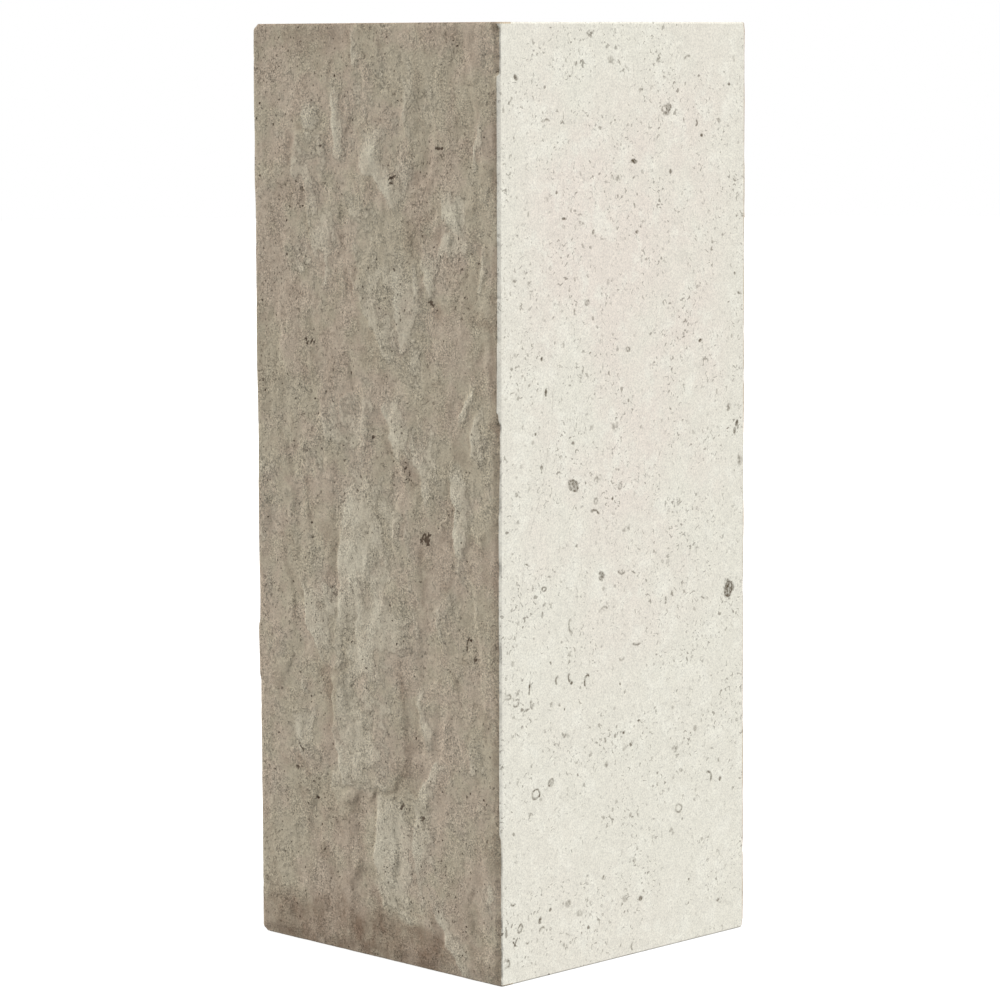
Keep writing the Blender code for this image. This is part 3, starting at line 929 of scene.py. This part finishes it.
def node(tree, kind, inputs=(), **settings):
    """Adds a node with its own settings and returns its outputs.

    The inputs are the first few in order, or a dictionary of named or numbered ones.
    """
    made = tree.nodes.new("ShaderNode" + kind)
    for name, value in settings.items():
        setattr(made, name, value)
    fill(tree, made, inputs if isinstance(inputs, dict) else dict(enumerate(inputs)))
    return made.outputs


def product(tree, first, *others):
    """Values multiplied together."""
    for other in others:
        first = node(tree, "Math", (first, other), operation="MULTIPLY")[0]
    return first


def summed(tree, total, *parts):
    """A value with others added to it, each times its weight."""
    for value, weight in parts:
        total = node(tree, "Math", (value, weight, total), operation="MULTIPLY_ADD")[0]
    return total


def gap(tree, value, middle):
    """How far a value is from a middle one, either way."""
    difference = node(tree, "Math", (value, middle), operation="SUBTRACT")[0]
    return node(tree, "Math", (difference,), operation="ABSOLUTE")[0]


def darkest(tree, *patterns):
    """The greatest of some patterns of dark marks at each place, each times its strength."""
    dark = 0.0
    for pattern, strength in patterns:
        dark = node(tree, "Math", (dark, product(tree, pattern, strength)), operation="MAXIMUM")[0]
    return dark


def layered(tree, colour, *layers):
    """A colour with others laid over it in turn, each by its own share.

    A mix takes its two colours at inputs 6 and 7 and gives the mixed one at output 2.
    """
    for share, over in layers:
        colour = node(tree, "Mix", {0: share, 6: colour, 7: over}, data_type="RGBA")[2]
    return colour


def clouds(tree, place, size, detail, roughness, window=(0, 1), levels=(0, 1), **manner):
    """Cloudy noise whose features are about the size across, in millimetres.

    Its values in the window are spread over the levels, and those outside are clipped.
    """
    inputs = {"Vector": place, "Scale": 1 / (size * MM), "Detail": detail, "Roughness": roughness}
    wave = node(tree, "TexNoise", inputs)["Fac"]
    return node(tree, "MapRange", (wave, *window, *levels), **manner)[0]


def bent_place(tree, place, size, bend):
    """The place moved about by up to half of bend, in swirls of the given size."""
    swirl = node(tree, "TexNoise", {"Vector": place, "Scale": 1 / (size * MM), "Detail": 1.0})["Color"]
    shift = node(tree, "VectorMath", (swirl, (0.5, 0.5, 0.5)), operation="SUBTRACT")[0]
    return node(tree, "VectorMath", (shift, (bend * MM,) * 3, place), operation="MULTIPLY_ADD")[0]


def rock_cells(tree, place, cell, share):
    """Cells about scattered seeds: their outputs, the millimetres from each seed, a size and a strength.

    Size and strength are drawn for each cell, from nought to one. Only a share of the cells has strength.
    """
    cells = node(tree, "TexVoronoi", {"Vector": place, "Scale": 1 / (cell * MM)}, feature="F1")
    away = product(tree, cells["Distance"], cell)
    draw = node(tree, "SeparateColor", (cells["Color"],))
    shown = node(tree, "Math", (draw["Green"], share), operation="LESS_THAN")[0]
    strength = node(tree, "MapRange", (draw["Blue"], 0, 1, 0.3, 1))[0]
    return cells, away, draw["Red"], product(tree, shown, strength)


def shell_arcs(tree, place, cell, radius, wall, share):
    """Sections through small shells: a thin round wall about some cells' seeds, broken open on one side."""
    cells, away, size, strength = rock_cells(tree, place, cell, share)
    wall_middle = node(tree, "MapRange", (size, 0, 1, 0.45 * radius, 1.3 * radius))[0]
    off_wall = gap(tree, away, wall_middle)
    line = node(tree, "MapRange", (off_wall, 0.3 * wall, wall, 1, 0), **EASED)[0]
    from_seed = node(tree, "VectorMath", (place, cells["Position"]), operation="SUBTRACT")[0]
    opening = node(tree, "VectorMath", (cells["Color"], (0.5, 0.5, 0.5)), operation="SUBTRACT")[0]
    facing = node(tree, "VectorMath", (from_seed, opening), operation="DOT_PRODUCT")["Value"]
    kept = node(tree, "MapRange", (facing, -0.3 * radius * MM, 0.1 * radius * MM))[0]
    return product(tree, line, kept, strength)


def pores(tree, place, cell, radius, share):
    """Round dark pores of various sizes about some cells' seeds."""
    cells, away, size, strength = rock_cells(tree, place, cell, share)
    reach = node(tree, "MapRange", (size, 0, 1, 0.4 * radius, 1.3 * radius))[0]
    rim = node(tree, "Math", (away, reach), operation="DIVIDE")[0]
    inside = node(tree, "MapRange", (rim, 0.5, 1.1, 1, 0), **EASED)[0]
    return product(tree, inside, strength)


def fossil_threads(tree, place, size, width, cover):
    """Short curved threads: where one noise crosses its middle, kept only where another is high."""
    crossing = gap(tree, clouds(tree, place, size, 0.0, 0.5), 0.5)
    line = node(tree, "MapRange", (crossing, 0.2 * width, width, 1, 0), **EASED)[0]
    kept = clouds(tree, place, 0.8 * size, 1.0, 0.5, (1 - cover, 1.06 - cover), **EASED)
    return product(tree, line, kept)


def shell_rock(tree, place):
    """Dark fossils and pores of the rock, from nought to one. They crowd in some patches.

    Real fossil grit here is a quarter to half a millimetre, and is drawn at about one, as coarse as shows.
    """
    bent = bent_place(tree, place, 3.0, 3.4)
    crowding = clouds(tree, place, 34, 4.0, 0.6, (0.4, 0.6), (0.15, 1.05), **EASED)
    arcs = shell_arcs(tree, bent, 24, 3.0, 0.9, 0.18)
    commas = shell_arcs(tree, bent, 6.5, 1.3, 0.85, 0.4)
    threads = fossil_threads(tree, place, 5, 0.055, 0.46)
    specks = pores(tree, bent, 4.6, 1.0, 0.26)
    holes = pores(tree, bent, 17, 1.7, 0.35)
    small = darkest(tree, (commas, 0.95), (threads, 0.75), (specks, 0.9))
    return darkest(tree, (small, crowding), (arcs, 0.7), (holes, 1))


def along_fibres(tree, place, stretch):
    """The place in a frame that leans with the rock's fibres and is squeezed along them.

    Noise in that frame is drawn out by the stretch.
    """
    inputs = {"Vector": place, "Rotation": (0, math.radians(FIBRE_LEAN), 0), "Scale": (1, 1, stretch)}
    return node(tree, "Mapping", inputs, vector_type="TEXTURE")[0]


def new_material(name):
    """A material that doesn't conduct, its node tree, its shader, and the place on the object."""
    material = bpy.data.materials.new(name)
    material.use_nodes = True
    tree = material.node_tree
    shader = tree.nodes["Principled BSDF"]
    fill(tree, shader, {"Metallic": 0.0, "IOR": 1.5})
    return material, tree, shader, node(tree, "TexCoord")["Object"]


def rosy_bed(tree, place):
    """How rosy the rock is: little near the foot, most over the middle, less at the top and riven faces."""
    height, depth = HEIGHT * MM, DEPTH * MM
    axes = node(tree, "SeparateXYZ", (place,))
    off_middle = gap(tree, axes["Y"], 0)
    above_foot = node(tree, "MapRange", (axes["Z"], 0.2 * height, 0.58 * height, 0.15, 0.78), **EASED)[0]
    under_top = node(tree, "MapRange", (axes["Z"], 0.86 * height, height, 1, 0.3), **EASED)[0]
    inward = node(tree, "MapRange", (off_middle, 0.28 * depth, 0.48 * depth, 1, 0.2), **EASED)[0]
    return product(tree, above_foot, under_top, inward)


def honed_limestone():
    """Shell limestone rubbed with fine grit: matt, flat and pale.

    Cut shells and pores show as small dark marks, and the drawn marks have ragged edges.
    """
    material, tree, shader, place = new_material("honed_limestone")
    rose = clouds(tree, place, 110, 4.0, 0.55, (0.34, 0.62), **EASED)
    rosy = product(tree, rose, rosy_bed(tree, place))
    chalky = clouds(tree, place, 24, 5.0, 0.7, (0.48, 0.66), (0, 0.55), **EASED)
    colour = layered(tree, CREAM, (rosy, ROSE_CREAM), (chalky, CHALK))
    mottle = clouds(tree, place, 11, 3.0, 0.65, (0.3, 0.7), (0.96, 1.03))
    grain = clouds(tree, place, 1.5, 1.0, 1.0, (0.28, 0.72), (0.85, 1.12))
    texture = product(tree, mottle, grain)
    colour = node(tree, "VectorMath", {0: colour, "Scale": texture}, operation="SCALE")[0]
    drawn = node(tree, "Attribute", attribute_name="mark")["Fac"]
    ragged = clouds(tree, place, 1.8, 2.0, 0.8, (0.36, 0.64), (0.5, 1.35))
    marks = darkest(tree, (shell_rock(tree, place), 0.75), (drawn, ragged))
    colour = layered(tree, colour, (marks, FOSSIL_GREY))
    relief = summed(tree, clouds(tree, place, 0.9, 2.0, 0.6), (marks, -1.6))
    bump = node(tree, "Bump", {"Strength": 0.25, "Distance": 0.08 * MM, "Height": relief})[0]
    finish = {"Base Color": colour, "Roughness": 0.58, "Specular IOR Level": 0.35, "Normal": bump}
    fill(tree, shader, finish)
    return material


def riven_limestone():
    """The same rock split along its bed: rough and granular, browner where old, paler where freshly split.

    Tone is the mesh's own paleness with patches and blotches added. The paleness also carries painted shade,
    which shows in the browner colour, and painted highlights, which show in the paler ones. Tone picks the
    colour, and where it crosses a threshold the stone steps up a little as well.
    """
    material, tree, shader, place = new_material("riven_limestone")
    pale = node(tree, "Attribute", attribute_name="pale")["Fac"]
    leaning = along_fibres(tree, place, PATCH_STRETCH)
    patches = clouds(tree, leaning, 34, 6.0, 0.65, (0.47, 0.53), (-0.18, 0.18), **EASED)
    blotch = clouds(tree, place, 8, 6.0, 0.85, (0.25, 0.75), (-0.6, 0.6))
    tone = summed(tree, pale, (patches, 1), (blotch, 1))
    stepped = node(tree, "MapRange", (tone, 0.35, 0.65), **EASED)[0]

    olive = clouds(tree, place, 45, 4.0, 0.6, (0.4, 0.6), **EASED)
    # Below nought, tone browns the stone, old stone and painted shade alike; above, it pales it, fresh stone
    # and painted highlights alike.
    older_and_shaded = node(tree, "MapRange", (tone, 0, -2.2))[0]
    newer_and_highlit = node(tree, "MapRange", (summed(tree, tone, (stepped, 0.22)), 0.05, 1.85))[0]
    fresh = node(tree, "MapRange", (tone, 1.3, 3.2))[0]
    layers = (olive, OLIVE_BUFF), (older_and_shaded, OLD_BROWN_AND_SHADE), (newer_and_highlit, PALE_BUFF_AND_HIGHLIGHT), (fresh, FRESH_STONE)
    colour = layered(tree, ROSE_BUFF, *layers)

    rough = clouds(tree, place, 26, 4.0, 0.6, (0.42, 0.58), (0.4, 1.1), **EASED)
    grain = clouds(tree, place, 1.7, 1.0, 0.9, (0.28, 0.72), (-0.4, 0.4))
    drawn_out = along_fibres(tree, place, FIBRE_STRETCH)
    fibres = clouds(tree, drawn_out, 2.4, 3.0, 0.7, (0.3, 0.7), (-1, 1))
    fibres = product(tree, fibres, node(tree, "MapRange", (pale, 0, 1, 0.3, 1))[0])
    texture = summed(tree, 1.0, (grain, rough), (fibres, 0.09))
    colour = node(tree, "VectorMath", {0: colour, "Scale": texture}, operation="SCALE")[0]

    mark = node(tree, "Attribute", attribute_name="mark")["Fac"]
    ragged = clouds(tree, place, 2.2, 3.0, 0.5, (0.35, 0.65), (-0.35, 0.25))
    drawn = node(tree, "MapRange", (summed(tree, mark, (ragged, 1)), 0.3, 0.75), **EASED)[0]
    torn = bent_place(tree, place, 2.2, 3.2)
    pits = pores(tree, torn, 4.2, 1.0, 0.45)
    holes = pores(tree, torn, 11, 1.5, 0.4)
    marks = darkest(tree, (shell_rock(tree, place), 0.6), (pits, 1), (holes, 1), (drawn, 0.9))
    colour = layered(tree, colour, (marks, DEEP_BROWN))

    crumbs = product(tree, clouds(tree, place, 2.6, 3.0, 0.9), rough)
    lumps = clouds(tree, place, 8, 3.0, 0.6)
    relief = summed(tree, crumbs, (lumps, 0.8), (stepped, 0.5), (fibres, 0.2), (marks, -0.6))
    bump = node(tree, "Bump", {"Strength": 0.8, "Distance": 1.1 * MM, "Height": relief})[0]
    finish = {"Base Color": colour, "Roughness": 0.85, "Specular IOR Level": 0.25, "Normal": bump}
    fill(tree, shader, finish)
    return material


def dress_pedestal():
    """The block in its two finishes, which rides the root and stands for the CAD's block."""
    pedestal = mesh_object("limestone_block", build_pedestal(), ["honed", "riven"])
    pedestal.data.materials.append(honed_limestone())
    pedestal.data.materials.append(riven_limestone())
    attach(pedestal, "root")
    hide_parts("pedestal_block")


def backlit_floor():
    """White acrylic lit from below, in metres: it glows evenly, a little more away from the block."""
    material, tree, shader, place = new_material("backlit_white_acrylic")
    away = node(tree, "VectorMath", (place,), operation="LENGTH")["Value"]
    glow = node(tree, "MapRange", (away, 0.2, 1.6, 0.8, 1.0), **EASED)[0]
    fill(tree, shader, {"Base Color": FLOOR_WHITE, "Roughness": 1.0, "Specular IOR Level": 0.0})
    fill(tree, shader, {"Emission Color": WHITE, "Emission Strength": glow})
    return material


def lay_floor():
    """A wide floor just under the block, seen by the camera but not by the block's own light."""
    bpy.ops.mesh.primitive_circle_add(vertices=96, radius=14, fill_type="NGON")
    floor = bpy.context.object
    floor.name = "studio_floor"
    floor.location.z = -0.5 * MM
    floor.data.materials.append(backlit_floor())
    floor.visible_diffuse = False
    floor.visible_glossy = False


def soft_light(name, bearing, elevation, spread_angle, strength):
    """A light so far off that it falls evenly from base to top, as wide as the spread says, in degrees.

    Its bearing goes from +X towards +Y.
    """
    bearing, elevation = math.radians(bearing), math.radians(elevation)
    level = math.cos(elevation)
    way = Vector((math.cos(bearing) * level, math.sin(bearing) * level, math.sin(elevation)))
    data = bpy.data.lights.new(name, "SUN")
    data.angle = math.radians(spread_angle)
    data.energy = strength
    lamp = bpy.data.objects.new(name, data)
    lamp.location = way * 3
    lamp.rotation_euler = way.to_track_quat("Z", "Y").to_euler()
    bpy.context.scene.collection.objects.link(lamp)


def light_studio():
    """Two soft lights in a white room, which is dimmer as a light than it looks to the camera."""
    soft_light("key_softbox", 22, 40, 40, 3.5)
    soft_light("left_softbox", 218, 26, 24, 1.9)
    world = bpy.data.worlds.new("studio")
    bpy.context.scene.world = world
    world.use_nodes = True
    tree = world.node_tree
    seen = node(tree, "LightPath")["Is Camera Ray"]
    strength = node(tree, "MapRange", (seen, 0, 1, 0.2, 1.0))[0]
    fill(tree, tree.nodes["Background"], {"Color": WHITE, "Strength": strength})
    scene = bpy.context.scene
    scene.view_settings.view_transform = "Standard"
    scene.view_settings.look = "None"


# The photograph's view, found from the block's outline on a square plan: where the lens stands from the foot
# of the front arris, in heights of the block, and how it is turned, in degrees.
LENS_PLACE = (2.76, -2.79, 0.982)
YAW, PITCH, ROLL = 44.73, -6.83, -0.23
LENS, SENSOR = 138.35, 36


def place_camera():
    """The camera at the lens's place: it looks forward, and its level and upright are turned by the roll."""
    yaw, pitch, roll = (math.radians(angle) for angle in (YAW, PITCH, ROLL))
    forward = Vector((-math.cos(pitch) * math.sin(yaw), math.cos(pitch) * math.cos(yaw), math.sin(pitch)))
    level = Vector((math.cos(yaw), math.sin(yaw), 0))
    upright = level.cross(forward)
    right = level * math.cos(roll) + upright * math.sin(roll)
    up = upright * math.cos(roll) - level * math.sin(roll)
    data = bpy.data.cameras.new("camera")
    data.sensor_width = SENSOR
    data.lens = LENS
    camera = bpy.data.objects.new("camera", data)
    turn = Matrix((right, up, -forward)).transposed().to_4x4()
    corner = Vector((SIDE / 2, -SIDE / 2, 0))
    place = (corner + Vector(LENS_PLACE) * HEIGHT) * MM
    camera.matrix_world = Matrix.Translation(place) @ turn
    bpy.context.scene.collection.objects.link(camera)
    bpy.context.scene.camera = camera


place_camera()
dress_pedestal()
lay_floor()
light_studio()
